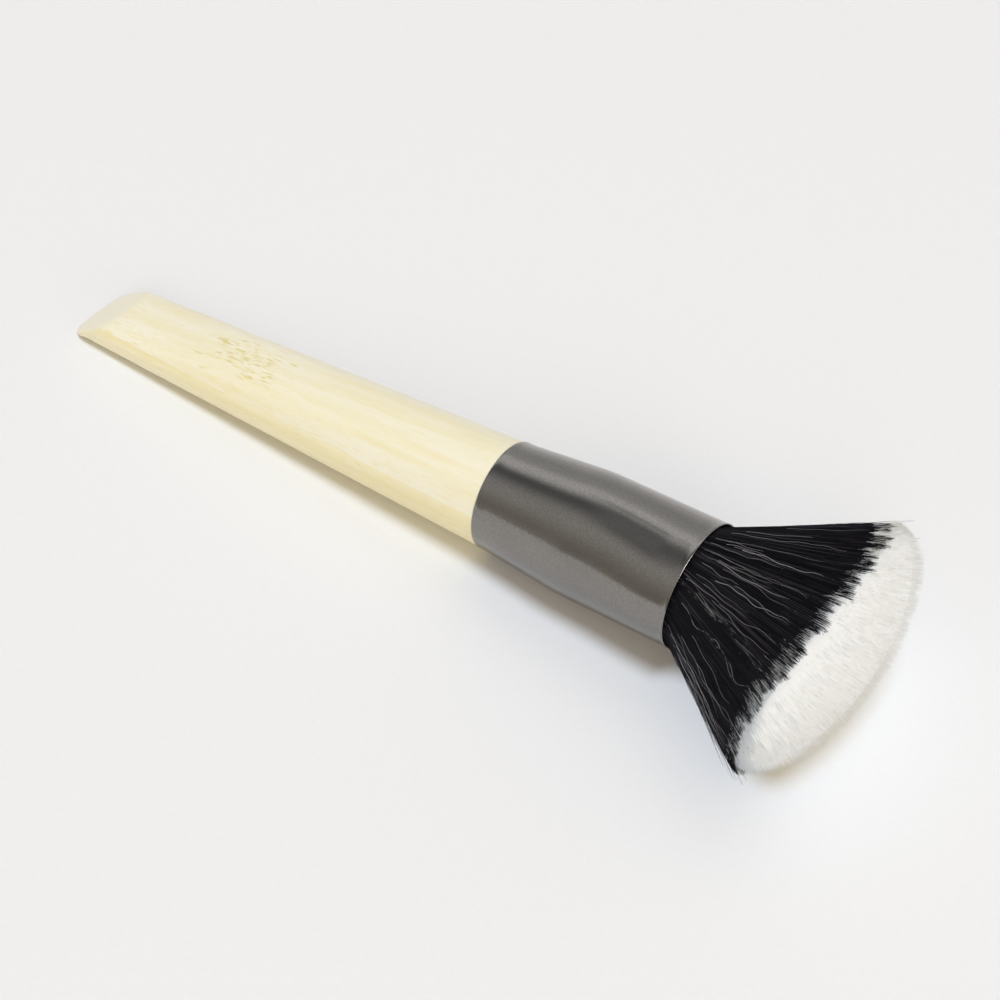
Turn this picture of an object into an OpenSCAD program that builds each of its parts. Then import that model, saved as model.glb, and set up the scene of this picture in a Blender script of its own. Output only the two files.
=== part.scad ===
// Fan-shaped foundation brush with a laminated bamboo handle, a dark metal ferrule
// and a two-colour tuft. It lies at rest: +X runs from the handle to the tuft,
// Y is the wide way of the tuft, and the floor is z = 0.

/* [Handle] */
// Length of the bamboo that shows behind the ferrule
handle_l = 104; // [88:0.5:125]
// Diameter of the bamboo where it meets the ferrule
handle_d = 21.6; // [21:0.1:21.8]
// Width of the flattened end of the handle
tip_w = 15.8; // [12:0.1:19]
// Thickness of the flattened end of the handle
tip_t = 5.7; // [4:0.1:9]
// How square the section of the flattened end is, 2 being an ellipse
tip_squareness = 2.7; // [2:0.1:4]
// Angle between the chisel cut and the axis of the brush
chisel_angle = 30; // [22:1:45]
// Blunt thickness left at the chisel's edge
chisel_edge_t = 0.3; // [0.2:0.1:1.2]
// Thickness of the middle bamboo ply
core_ply_t = 4.8; // [2:0.1:8]
// Diameter of the turned tenon inside the ferrule
tenon_d = 20.2; // [17:0.1:20.6]
// Length of the turned tenon inside the ferrule
tenon_l = 16; // [9:0.5:18]

/* [Ferrule] */
// Length of the ferrule
ferrule_l = 43; // [38:0.5:52]
// Outer diameter of the straight barrel at the back
barrel_d = 22; // [21.9:0.1:23]
// Length of the straight barrel at the back
barrel_l = 2; // [1:0.5:8]
// Outer diameter where the ferrule is fattest
belly_d = 25.2; // [23.5:0.1:27]
// Distance from the back edge to the fattest place
belly_x = 20.5; // [19:0.5:24]
// Outer width of the flattened mouth
mouth_w = 26.4; // [25:0.1:29]
// Outer height of the flattened mouth
mouth_h = 23.4; // [21:0.1:25]
// Length of the straight stretch behind the mouth
mouth_l = 5; // [3:0.5:8]
// Thickness of the ferrule's sheet metal
ferrule_wall = 0.5; // [0.3:0.05:0.7]
// Height of the rolled bead at the mouth
bead_h = 0.25; // [0.1:0.05:0.5]
// Length of the rolled bead at the mouth
bead_l = 0.9; // [0.5:0.1:1.5]

/* [Tuft] */
// Free length of the longest white bristles, in the middle
tuft_l = 36; // [32:0.5:44]
// Free length of the white bristles at the two sides of the fan
side_l = 26; // [22:0.5:30]
// Free length of the white bristles on the upper and lower face
face_l = 30; // [28:0.5:32]
// Free length of the black bristles
black_l = 26; // [16:0.5:27]
// Width of the fan across the tips of its sides
fan_w = 68.4; // [44:0.2:74]
// Thickness of the fan at the tips of its faces
fan_t = 33; // [23:0.2:34]
// Length of the bound roots inside the ferrule
root_l = 12; // [8:0.5:14]
// Gap between the bound roots and the ferrule, where the thread lies
root_gap = 0.45; // [0.4:0.05:0.7]

/* [Bonding] */
// How far the adhesive round the tenon starts inside the back edge
glue_inset = 1; // [0.5:0.5:4]
// Free space between the tenon's end and the resin
resin_gap = 0.5; // [0.3:0.1:2]
// Shrinkage gap between the resin and the ferrule
resin_clearance = 0.1; // [0.05:0.05:0.3]
// Thickness of the binding thread
thread_t = 0.3; // [0.15:0.05:0.3]
// Gap between the roots and the binding thread
thread_gap = 0.05; // [0:0.05:0.1]
// Length of root that the binding thread covers
thread_l = 2.4; // [1:0.2:4]
// Distance from the root end to the binding
thread_inset = 1.5; // [0.5:0.1:3]

/* [Strands] */
// Strand cells across the fan
cells_y = 25; // [20:1:25]
// Strand cells through the thickness of the fan
cells_z = 15; // [13:1:15]
// Number of black cells at each side of the fan
shell_cells_y = 1; // [1:1:3]
// Number of black cells on the upper and on the lower face
shell_cells_z = 1; // [1:1:4]

/* [Hidden] */

// Points round each lofted section, and steps along the swelling and the flattening
sides = 64;
swell_steps = 8;
flatten_steps = 8;
round_fn = 96;
// Overrun of every cut, and thickness of the slabs that a hull joins
overrun = 1;
slab_t = 0.2;
// How far the lofted front of the ferrule is set in from its turned rear
seam_step = 0.03;
// Share of the swelling and of the flattening that each rounded end takes
ease_share = 0.12;

// Share of its cell that a strand fills at its root and at its shoulder
root_fill_share = 0.86;
shoulder_fill_share = 0.84;
// Place of the shoulder along a strand, where the point starts
shoulder_share = 0.82;
// Spread of the tips within their cells, and of the strand lengths
tip_jitter_share = 0.3;
length_jitter_share = 0.05;
jitter_seed = 11;

barrel_r = barrel_d / 2;
belly_r = belly_d / 2;
flat_x = ferrule_l - mouth_l;
root_x = ferrule_l - root_l;

// A straight rise from 0 to 1 over t, whose two ends are rounded
function eased(t) =
    let (e = 2 * ease_share * (1 - ease_share))
    t < ease_share ? t * t / e :
    t > 1 - ease_share ? 1 - (1 - t) * (1 - t) / e :
    (t - ease_share / 2) / (1 - ease_share);

// Radius of the round rear of the ferrule, with the oval front's half width and half height
function swell_t(x) = min(max((x - barrel_l) / (belly_x - barrel_l), 0), 1);
function flatten_t(x) = min(max((x - belly_x) / (flat_x - belly_x), 0), 1);
function rear_r(x) = barrel_r + (belly_r - barrel_r) * eased(swell_t(x));
function half_w(x) = rear_r(x) + (mouth_w / 2 - belly_r) * eased(flatten_t(x));
function half_h(x) = rear_r(x) + (mouth_h / 2 - belly_r) * eased(flatten_t(x));

// One section of the ferrule, let in by a gap from its outer face
function ring(x, gap) = [for (i = [0:sides - 1]) [
    x,
    (half_w(x) - gap) * cos(360 * i / sides),
    (half_h(x) - gap) * sin(360 * i / sides)]];

// Stations along the ferrule
swell_xs = [for (i = [0:swell_steps]) barrel_l + (belly_x - barrel_l) * i / swell_steps];
flatten_xs = [for (i = [0:flatten_steps]) belly_x + (flat_x - belly_x) * i / flatten_steps];

// The roots fill the bore at the mouth and pass through the bore at their own end
root_a = half_w(root_x) - ferrule_wall - root_gap;
root_b = half_h(ferrule_l) - ferrule_wall - root_gap;
// How fast the fan opens, sideways and through its thickness
open_y = (fan_w / 2 - root_a) / side_l;
open_z = (fan_t / 2 - root_b) / face_l;

// The brush lies on the end of its handle and on the fattest part below
lows = [
    for (x = concat(swell_xs, flatten_xs)) [x, half_h(x)],
    [ferrule_l + face_l, fan_t / 2]];
rest_pitch = max([for (p = lows) atan((p[1] - tip_t / 2) / (p[0] + handle_l))]);
rest_z = handle_l * sin(rest_pitch) + tip_t / 2 * cos(rest_pitch);
back_x = -handle_l * cos(rest_pitch) + tip_t / 2 * sin(rest_pitch);
front_x = (ferrule_l + tuft_l) * cos(rest_pitch);

// Takes a piece from the brush's own axis, with the ferrule's back edge at zero, to its rest
module laid_down() {
    translate([-(back_x + front_x) / 2, 0, rest_z])
        rotate([0, -rest_pitch, 0])
            children();
}

// Joins rings of equal length into a skin; a closed skin comes back to its first ring
module skin(rings, closed) {
    n = len(rings[0]);
    m = len(rings);
    walls = [
        for (r = [0:closed ? m - 1 : m - 2], i = [0:n - 1])
            let (a = r * n, b = (r + 1) % m * n, j = (i + 1) % n)
            each [[a + i, b + i, b + j], [a + i, b + j, a + j]]];
    caps = closed ? [] : [
        for (i = [1:n - 2])
            let (last = (m - 1) * n)
            each [[0, i, i + 1], [last, last + i + 1, last + i]]];
    polyhedron(points = [for (r = rings) each r], faces = concat(walls, caps));
}

// Section of the handle's flattened end, a superellipse
function end_section() = [for (i = [0:sides - 1])
    let (c = cos(360 * i / sides), s = sin(360 * i / sides), e = 2 / tip_squareness)
    [tip_w / 2 * sign(c) * pow(abs(c), e), tip_t / 2 * sign(s) * pow(abs(s), e)]];

// Bamboo that shows: ruled from a circle at the ferrule to the flattened end
module handle_blank() {
    hull() {
        translate([-slab_t, 0, 0])
            rotate([0, 90, 0])
                cylinder(d = handle_d, h = slab_t, $fn = sides);
        translate([-handle_l, 0, 0])
            rotate([90, 0, 90])
                linear_extrude(slab_t)
                    polygon(end_section());
    }
}

// Everything above the slanted chisel cut at the end of the handle
module chisel_waste() {
    translate([-handle_l, 0, chisel_edge_t - tip_t / 2])
        rotate([0, -chisel_angle, 0])
            translate([-tip_w, -tip_w, 0])
                cube([3 * tip_w, 2 * tip_w, 2 * tip_w]);
}

// The whole turned handle with its tenon, before it is split into plies
module handle_form() {
    difference() {
        handle_blank();
        chisel_waste();
    }
    translate([-slab_t, 0, 0])
        rotate([0, 90, 0])
            cylinder(d = tenon_d, h = tenon_l + slab_t, $fn = round_fn);
}

// The layer of the handle between two heights over its axis
module ply(low, high) {
    intersection() {
        handle_form();
        translate([-handle_l - overrun, -handle_d, low])
            cube([handle_l + tenon_l + 2 * overrun, 2 * handle_d, high - low]);
    }
}

module handle_upper_ply() {
    color("#efe7c6")
        laid_down()
            ply(core_ply_t / 2, handle_d);
}

module handle_core_ply() {
    color("#e6dab0")
        laid_down()
            ply(-core_ply_t / 2, core_ply_t / 2);
}

module handle_lower_ply() {
    color("#efe7c6")
        laid_down()
            ply(-handle_d, -core_ply_t / 2);
}

// Adhesive between the tenon and the bore, whose swelling it fills
module tenon_adhesive() {
    xs = [glue_inset, for (x = swell_xs) if (x > glue_inset && x < tenon_l) x, tenon_l];
    bore = [for (x = xs) [rear_r(x) - ferrule_wall, x]];
    color("#d8c48a")
        laid_down()
            rotate([0, 90, 0])
                rotate_extrude($fn = round_fn)
                    polygon([[tenon_d / 2, glue_inset], each bore, [tenon_d / 2, tenon_l]]);
}

// Round rear of the ferrule: a straight barrel that swells to the belly
module ferrule_rear() {
    xs = [0, each swell_xs];
    outer = [for (x = xs) [rear_r(x), x]];
    inner = [for (i = [len(xs) - 1:-1:0]) [rear_r(xs[i]) - ferrule_wall, xs[i]]];
    rotate([0, 90, 0])
        rotate_extrude($fn = round_fn)
            polygon(concat(outer, inner));
}

// Front of the ferrule: lofted from the round belly to the oval mouth with its rolled bead
module ferrule_front() {
    bead = [for (i = [0:4]) [ferrule_l - bead_l + bead_l * i / 4, -bead_h * sin(45 * i)]];
    outer = [
        for (x = flatten_xs) ring(x, seam_step),
        for (p = bead) ring(p[0], seam_step + p[1])];
    stops = [ferrule_l, for (i = [flatten_steps:-1:0]) flatten_xs[i]];
    inner = [for (x = stops) ring(x, seam_step + ferrule_wall)];
    skin(concat(outer, inner), true);
}

module ferrule() {
    color("#625c57")
        laid_down() {
            ferrule_rear();
            ferrule_front();
        }
}

// Resin that was poured round the root ends and set against the bore
module resin_plug() {
    start_x = tenon_l + resin_gap;
    swelling = [for (x = swell_xs) if (x > start_x) x];
    flattening = [for (x = flatten_xs) if (x > belly_x && x < root_x) x];
    xs = concat([start_x], swelling, flattening, [root_x]);
    color("#c9b27a")
        laid_down()
            skin([for (x = xs) ring(x, ferrule_wall + resin_clearance)], false);
}

// Outline of the bound roots, let out by a gap
function root_ring(x, gap) = [for (i = [0:sides - 1]) [
    x,
    (root_a + gap) * cos(360 * i / sides),
    (root_b + gap) * sin(360 * i / sides)]];

// Thread wound round the roots near their end
module tuft_binding() {
    x0 = root_x + thread_inset;
    x1 = x0 + thread_l;
    color("#e9e4d4")
        laid_down()
            skin([
                root_ring(x0, thread_gap),
                root_ring(x0, thread_gap + thread_t),
                root_ring(x1, thread_gap + thread_t),
                root_ring(x1, thread_gap)], true);
}

// Takes a square grid to a round one: no two strands that start apart can meet
function to_disc(u, v) = [u * sqrt(1 - v * v / 2), v * sqrt(1 - u * u / 2)];

// Place at free length s of the fibre whose place in the square grid is u, v
function fibre(u, v, s) =
    let (p = to_disc(u, v))
    [ferrule_l + s, p[0] * (root_a + open_y * max(s, 0)), p[1] * (root_b + open_z * max(s, 0))];

// Free length of the white bristles: a dome over the whole tuft
function dome(u, v) =
    let (p = to_disc(u, v))
    tuft_l - (tuft_l - side_l) * p[0] * p[0] - (tuft_l - face_l) * p[1] * p[1];

function is_black(i, j) =
    i < shell_cells_y || i >= cells_y - shell_cells_y || j < shell_cells_z || j >= cells_z - shell_cells_z;

jitters = rands(-1, 1, 3 * cells_y * cells_z, jitter_seed);

// The nine points of the strand in cell i, j: four at its root, four at its shoulder, its tip
function strand_points(i, j, black) =
    let (
        k = 3 * (i * cells_z + j),
        u = (2 * i + 1) / cells_y - 1,
        v = (2 * j + 1) / cells_z - 1,
        full = dome(u, v) * (1 + length_jitter_share * jitters[k]),
        s = black ? min(black_l * (1 + 2 * length_jitter_share * jitters[k]), full) : full,
        du = 1 / cells_y,
        dv = 1 / cells_z,
        corners = [[-1, -1], [1, -1], [1, 1], [-1, 1]])
    [
        for (c = corners)
            fibre(u + c[0] * du * root_fill_share, v + c[1] * dv * root_fill_share, 0),
        for (c = corners)
            fibre(u + c[0] * du * shoulder_fill_share, v + c[1] * dv * shoulder_fill_share,
                s * shoulder_share),
        fibre(u + tip_jitter_share * du * jitters[k + 1], v + tip_jitter_share * dv * jitters[k + 2], s)];

// Strands of one colour, fused to the slice of roots that they stand on
module bristles(black) {
    cells = [
        for (i = [0:cells_y - 1], j = [0:cells_z - 1])
            if (is_black(i, j) == black) [i, j]];
    row = cells_z + 1;
    grid_n = (cells_y + 1) * row;
    top = [
        for (i = [0:cells_y], j = [0:cells_z])
            fibre(2 * i / cells_y - 1, 2 * j / cells_z - 1, 0)];
    bottom = [for (p = top) [root_x, p[1], p[2]]];
    strands = [for (c = cells) each strand_points(c[0], c[1], black)];
    faces = [
        for (n = [0:len(cells) - 1])
            let (
                i = cells[n][0],
                j = cells[n][1],
                a = [i * row + j, (i + 1) * row + j, (i + 1) * row + j + 1, i * row + j + 1],
                b = 2 * grid_n + 9 * n,
                beside = [
                    j == 0 || is_black(i, j - 1) != black,
                    i == cells_y - 1 || is_black(i + 1, j) != black,
                    j == cells_z - 1 || is_black(i, j + 1) != black,
                    i == 0 || is_black(i - 1, j) != black])
            each [
                for (k = [0:3])
                    let (m = (k + 1) % 4)
                    each [
                        [a[k], b + m, a[m]],
                        [a[k], b + k, b + m],
                        [b + k, b + 4 + m, b + m],
                        [b + k, b + 4 + k, b + 4 + m],
                        [b + 4 + k, b + 8, b + 4 + m],
                        if (beside[k]) [a[k], a[m], grid_n + a[m]],
                        if (beside[k]) [a[k], grid_n + a[m], grid_n + a[k]]],
                [grid_n + a[0], grid_n + a[1], grid_n + a[2]],
                [grid_n + a[0], grid_n + a[2], grid_n + a[3]]]];
    polyhedron(points = concat(top, bottom, strands), faces = faces);
}

module black_bristles() {
    color("#17151b")
        laid_down()
            bristles(true);
}

module white_bristles() {
    color("#f3f1ea")
        laid_down()
            bristles(false);
}

handle_upper_ply();
handle_core_ply();
handle_lower_ply();
tenon_adhesive();
ferrule();
resin_plug();
tuft_binding();
black_bristles();
white_bristles();
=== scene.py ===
"""A foundation brush: bamboo handle, gunmetal ferrule and a fan of black and white fibres."""
import math

import bmesh
import bpy
import numpy as np
from mathutils import Matrix, Vector


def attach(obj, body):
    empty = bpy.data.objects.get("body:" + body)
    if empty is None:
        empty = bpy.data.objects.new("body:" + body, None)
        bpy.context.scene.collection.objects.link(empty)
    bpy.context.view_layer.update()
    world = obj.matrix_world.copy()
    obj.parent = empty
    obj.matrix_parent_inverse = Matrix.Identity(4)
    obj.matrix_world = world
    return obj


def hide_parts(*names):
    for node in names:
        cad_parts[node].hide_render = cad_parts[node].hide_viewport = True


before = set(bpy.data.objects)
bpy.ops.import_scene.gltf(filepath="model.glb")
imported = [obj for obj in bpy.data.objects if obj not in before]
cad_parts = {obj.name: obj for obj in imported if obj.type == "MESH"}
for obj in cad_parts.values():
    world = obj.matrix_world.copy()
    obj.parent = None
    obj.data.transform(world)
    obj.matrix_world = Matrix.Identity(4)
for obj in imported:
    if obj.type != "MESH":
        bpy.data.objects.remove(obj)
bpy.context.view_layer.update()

# The brush's own axis, in mm: +X runs to the tuft, and zero is the ferrule's back edge. Its tilt
# and that edge's place at rest are what the part's source works out from its sizes.
MM = 0.001
REST_PITCH = math.radians(4.5072)
BACK_EDGE = Vector((12.3494, 0, 11.014))
TO_REST = (
    Matrix.Translation(BACK_EDGE * MM)
    @ Matrix.Rotation(-REST_PITCH, 4, "Y")
    @ Matrix.Scale(MM, 4)
)

# Sizes repeated from the part's source, in mm
HANDLE_L, HANDLE_R = 104.0, 10.8
TIP_W, TIP_T = 15.8, 5.7
PLY_EDGE = 2.4
TENON_L, TENON_R = 16.0, 10.1
FERRULE_L, FERRULE_WALL = 43.0, 0.5
BARREL_R = 11.0
BELLY_X = 20.5
MOUTH_A, MOUTH_B, MOUTH_L = 13.2, 11.7, 5.0

# Sizes that follow the photo more closely than the source does, in mm. The squareness is the
# power of the flattened end's superellipse.
TIP_SQUARENESS = 3.4
CHISEL_ANGLE, CHISEL_ROUNDING = math.radians(31), 1.1
BARREL_L = 1.0
BELLY_R = 12.54
BEAD_H, BEAD_L = 0.07, 0.7

# Free lengths of the white fibres in the middle, at the fan's sides and on its faces, and of the
# black ones in the middle and at the sides, in mm
TUFT_L, SIDE_L, FACE_L = 37.0, 26.8, 30.6
BLACK_L, BLACK_SIDE_L = 27.3, 23.2

# Half sizes of the tuft at the ferrule's mouth, in mm, and their growth per mm of free length
ROOT_A, ROOT_B = 12.4, 11.05
OPEN_Y, OPEN_Z = 0.80, 0.155

# White fibres keep to this share of the fan's section under the black ones, and open out over
# this last length before the black tips, in mm
UNDER_BLACK, LIFT_BACK = 0.85, 3.0

# The chisel cut's outward direction, and where it would meet the handle's lower face
CUT_ACROSS = Vector((-math.sin(CHISEL_ANGLE), 0, math.cos(CHISEL_ANGLE)))
CUT_EDGE = Vector((-HANDLE_L, 0, -TIP_T / 2))

# Steps round the turned forms
HANDLE_STEPS, FERRULE_STEPS, CORE_STEPS = 256, 192, 96

# How near two points count as one and a point counts as on a cut, in mm
SAME_PLACE, ON_PLANE = 0.0001, 0.00001

chance = np.random.default_rng(11)


# ---------------------------------------------------------------- node trees


def node(tree, kind, inputs=None, **settings):
    """Adds a node with its settings, and sets or links its inputs by name or number."""
    made = tree.nodes.new(kind)
    for key, value in settings.items():
        setattr(made, key, value)
    for key, value in (inputs or {}).items():
        if isinstance(value, bpy.types.NodeSocket):
            tree.links.new(value, made.inputs[key])
        else:
            made.inputs[key].default_value = value
    return made


def math_node(tree, operation, *values, clamp=False):
    inputs = dict(enumerate(values))
    made = node(tree, "ShaderNodeMath", inputs, operation=operation, use_clamp=clamp)
    return made.outputs[0]


def vector_node(tree, operation, *values):
    """A vector sum or difference, or a length or dot product as a plain number."""
    made = node(tree, "ShaderNodeVectorMath", dict(enumerate(values)), operation=operation)
    return made.outputs["Value" if operation in ("LENGTH", "DOT_PRODUCT") else "Vector"]


def blend_colour(tree, factor, first, second):
    made = node(tree, "ShaderNodeMix", {0: factor, 6: first, 7: second}, data_type="RGBA")
    return made.outputs[2]


def span(tree, value, low, high, to_low=0.0, to_high=1.0, smooth=False):
    """Takes what lies between low and high to the numbers between to_low and to_high."""
    made = node(
        tree, "ShaderNodeMapRange", {0: value, 1: low, 2: high, 3: to_low, 4: to_high},
        interpolation_type="SMOOTHSTEP" if smooth else "LINEAR",
    )
    return made.outputs[0]


def noise(tree, place, scale, detail, roughness=0.5, distortion=0.0):
    made = node(
        tree, "ShaderNodeTexNoise",
        {"Vector": place, "Scale": scale, "Detail": detail, "Roughness": roughness,
         "Distortion": distortion},
    )
    return made.outputs[0]


def stretched(tree, place, along, across):
    """A place scaled by one amount along the brush and another across it."""
    made = node(tree, "ShaderNodeMapping", {"Vector": place, "Scale": (along, across, across)})
    return made.outputs[0]


def long_noise(tree, place, along, across, detail, roughness=0.5, distortion=0.0):
    """Noise with so many waves per mm along the brush, and so many across it."""
    return noise(tree, stretched(tree, place, along, across), 1.0, detail, roughness, distortion)


def new_group(name, inputs, outputs):
    """An empty node group with named sockets: (tree, input node's sockets, output's sockets)."""
    tree = bpy.data.node_groups.new(name, "ShaderNodeTree")
    for label, kind, value in inputs:
        socket = tree.interface.new_socket(label, in_out="INPUT", socket_type=kind)
        if value is not None:
            socket.default_value = value
    for label, kind in outputs:
        tree.interface.new_socket(label, in_out="OUTPUT", socket_type=kind)
    return (
        tree,
        tree.nodes.new("NodeGroupInput").outputs,
        tree.nodes.new("NodeGroupOutput").inputs,
    )


def new_material(name, **sockets):
    """A material with one Principled BSDF, whose plain values are set on its own sockets."""
    material = bpy.data.materials.new(name)
    material.use_nodes = True
    tree = material.node_tree
    shader = tree.nodes["Principled BSDF"].inputs
    for key, value in sockets.items():
        shader[key.replace("_", " ")].default_value = value
    return material, tree, shader


def brush_place(tree):
    """Object coordinates turned on to the brush's own axis, in mm."""
    turn = Matrix.Rotation(REST_PITCH, 3, "Y")
    made = node(
        tree,
        "ShaderNodeMapping",
        {
            "Vector": node(tree, "ShaderNodeTexCoord").outputs["Object"],
            "Location": -(turn @ BACK_EDGE),
            "Rotation": (0, REST_PITCH, 0),
            "Scale": (1 / MM,) * 3,
        },
    )
    return made.outputs[0]


# ---------------------------------------------------------------- materials


def bamboo_grain():
    """Lengthwise bamboo grain with its fibre dashes and one node mark, in the brush's own mm."""
    broad_share, streak_share, fine_share, dot_share = 0.35, 0.5, 0.16, 0.3
    mark_l, mark_w, mark_share, mark_depth = 13, 6.5, 0.95, 0.5
    mark_colour = (0.74, 0.63, 0.21, 1)
    end_colour, dot_colour = (0.955, 0.915, 0.71, 1), (0.85, 0.76, 0.46, 1)
    tree, given, out = new_group(
        "bamboo_grain",
        [
            ("Place", "NodeSocketVector", None),
            ("Pale", "NodeSocketColor", (0.88, 0.83, 0.62, 1)),
            ("Streak", "NodeSocketColor", (0.80, 0.70, 0.36, 1)),
            ("Mark Place", "NodeSocketVector", None),
            ("Seed", "NodeSocketVector", None),
        ],
        [
            ("Colour", "NodeSocketColor"),
            ("Roughness", "NodeSocketFloat"),
            ("Height", "NodeSocketFloat"),
        ],
    )
    place = vector_node(tree, "ADD", given["Place"], given["Seed"])
    # Broad tone, then streaks about 1 mm wide, then hair-fine fibres
    broad = span(tree, long_noise(tree, place, along=0.012, across=0.11, detail=2), 0.35, 0.7)
    streaks = long_noise(
        tree, place, along=0.02, across=0.55, detail=4, roughness=0.6, distortion=0.3
    )
    streaks = span(tree, streaks, 0.42, 0.72)
    fine = long_noise(tree, place, along=0.07, across=3.2, detail=3, roughness=0.65)
    dashes = span(tree, long_noise(tree, place, along=0.32, across=3.0, detail=1.5), 0.57, 0.68)
    # Dashes show most low on the upper ply, just over the line between the plies
    height = node(tree, "ShaderNodeSeparateXYZ", {0: given["Place"]}).outputs["Z"]
    dashes = math_node(tree, "MULTIPLY", dashes, span(tree, height, 8.0, 3.0, 0.25, 0.75))
    # The node mark: a ragged oval patch of short dark dashes
    from_mark = vector_node(tree, "SUBTRACT", given["Place"], given["Mark Place"])
    reach = vector_node(tree, "LENGTH", stretched(tree, from_mark, 1 / mark_l, 1 / mark_w))
    ragged = long_noise(tree, place, along=0.16, across=0.5, detail=3)
    reach = math_node(tree, "ADD", reach, span(tree, ragged, 0.3, 0.7, -0.4, 0.4))
    patch = span(tree, reach, 0.55, 1.0, 1.0, 0.0, smooth=True)
    ticks = span(tree, long_noise(tree, place, along=0.42, across=2.1, detail=1.5), 0.5, 0.66)
    mark = math_node(tree, "MULTIPLY", patch, ticks)
    tone = math_node(
        tree, "ADD",
        math_node(tree, "MULTIPLY", broad, broad_share),
        math_node(tree, "MULTIPLY", streaks, streak_share),
        clamp=True,
    )
    tone = math_node(tree, "MULTIPLY_ADD", span(tree, fine, 0.3, 0.8), fine_share, tone)
    colour = blend_colour(tree, tone, given["Pale"], given["Streak"])
    colour = blend_colour(tree, dashes, colour, given["Streak"])
    marked = math_node(tree, "MULTIPLY", mark, mark_share)
    colour = blend_colour(tree, marked, colour, mark_colour)
    # End grain on the chisel cut: paler, with the fibre bundles as short dots
    from_cut = vector_node(tree, "SUBTRACT", given["Place"], CUT_EDGE)
    on_cut = span(tree, vector_node(tree, "DOT_PRODUCT", from_cut, CUT_ACROSS), -0.5, -0.06)
    dots = long_noise(tree, place, along=1.1, across=2.6, detail=2, roughness=0.6)
    dots = math_node(tree, "MULTIPLY", span(tree, dots, 0.5, 0.72), dot_share)
    end_grain = blend_colour(tree, dots, end_colour, dot_colour)
    tree.links.new(blend_colour(tree, on_cut, colour, end_grain), out["Colour"])
    tree.links.new(span(tree, fine, 0.2, 0.8, 0.36, 0.52), out["Roughness"])
    sunk = math_node(tree, "MULTIPLY", mark, mark_depth)
    tree.links.new(math_node(tree, "SUBTRACT", fine, sunk), out["Height"])
    return tree


def speckle_group():
    """Fine speckle and slow cloud that break up an even finish."""
    speck_share, cloud_share = 0.7, 0.3
    tree, given, out = new_group(
        "finish_speckle",
        [
            ("Place", "NodeSocketVector", None),
            ("Colour", "NodeSocketColor", (0.5, 0.5, 0.5, 1)),
            ("Second Colour", "NodeSocketColor", (0.4, 0.4, 0.4, 1)),
            ("Rough Low", "NodeSocketFloat", 0.3),
            ("Rough High", "NodeSocketFloat", 0.4),
        ],
        [
            ("Colour", "NodeSocketColor"),
            ("Roughness", "NodeSocketFloat"),
            ("Height", "NodeSocketFloat"),
        ],
    )
    specks = noise(tree, given["Place"], scale=3.6, detail=1, roughness=0.6)
    cloud = long_noise(tree, given["Place"], along=0.05, across=0.12, detail=3, roughness=0.6)
    cloud = math_node(tree, "MULTIPLY", cloud, cloud_share)
    share = span(tree, math_node(tree, "MULTIPLY_ADD", specks, speck_share, cloud), 0.35, 0.65)
    colour = blend_colour(tree, share, given["Colour"], given["Second Colour"])
    rough = node(
        tree, "ShaderNodeMix", {0: share, 2: given["Rough Low"], 3: given["Rough High"]},
        data_type="FLOAT",
    ).outputs[0]
    tree.links.new(colour, out["Colour"])
    tree.links.new(rough, out["Roughness"])
    tree.links.new(specks, out["Height"])
    return tree


def strand_group():
    """Colour along a fibre, from its root to its tip, with each fibre's own tone."""
    tree, given, out = new_group(
        "strand_tone",
        [
            ("Root Colour", "NodeSocketColor", (0.1, 0.1, 0.1, 1)),
            ("Tip Colour", "NodeSocketColor", (0.2, 0.2, 0.2, 1)),
            ("Odd Colour", "NodeSocketColor", (0.3, 0.3, 0.3, 1)),
            ("Odd Share", "NodeSocketFloat", 0.1),
        ],
        [("Colour", "NodeSocketColor"), ("Roughness", "NodeSocketFloat")],
    )
    along = node(tree, "ShaderNodeAttribute", attribute_name="along").outputs["Fac"]
    tone = node(tree, "ShaderNodeAttribute", attribute_name="tone").outputs["Fac"]
    # Near its tip a fibre takes the tip colour. On the white fibres that tip colour is partly
    # painted shade.
    near_tip = span(tree, along, 0.7, 1.0)
    colour = blend_colour(tree, near_tip, given["Root Colour"], given["Tip Colour"])
    even_share = math_node(tree, "SUBTRACT", 1.0, given["Odd Share"])
    odd = math_node(tree, "GREATER_THAN", tone, even_share)
    colour = blend_colour(tree, odd, colour, given["Odd Colour"])
    shade = span(tree, tone, 0.0, 1.0, 0.86, 1.0)
    colour = node(
        tree, "ShaderNodeVectorMath", {0: colour, "Scale": shade}, operation="SCALE"
    ).outputs[0]
    tree.links.new(colour, out["Colour"])
    tree.links.new(span(tree, tone, 0.0, 1.0, 0.42, 0.62), out["Roughness"])
    return tree


def grouped_material(name, group, inputs, bump_strength=0.0, bump_distance=0.0, **sockets):
    """A material whose colour, roughness and relief a node group makes from its inputs."""
    material, tree, shader = new_material(name, **sockets)
    made = node(tree, "ShaderNodeGroup", node_tree=group)
    for key, value in inputs.items():
        made.inputs[key].default_value = value
    if "Place" in made.inputs:
        tree.links.new(brush_place(tree), made.inputs["Place"])
    tree.links.new(made.outputs["Colour"], shader["Base Color"])
    tree.links.new(made.outputs["Roughness"], shader["Roughness"])
    if "Height" in made.outputs:
        relief = node(
            tree, "ShaderNodeBump",
            {"Height": made.outputs["Height"], "Strength": bump_strength,
             "Distance": bump_distance},
        )
        tree.links.new(relief.outputs[0], shader["Normal"])
    return material


def bamboo(name, pale, streak, seed, mark):
    """Bamboo between two colours, with its own stretch of grain and a place for its node mark."""
    return grouped_material(
        name, GRAIN,
        {"Pale": (*pale, 1), "Streak": (*streak, 1), "Seed": seed, "Mark Place": mark},
        bump_strength=0.12, bump_distance=0.0002, Coat_Weight=0.5, Coat_Roughness=0.32,
        Specular_IOR_Level=0.5, Sheen_Weight=0.5, Sheen_Roughness=0.5,
    )


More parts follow.
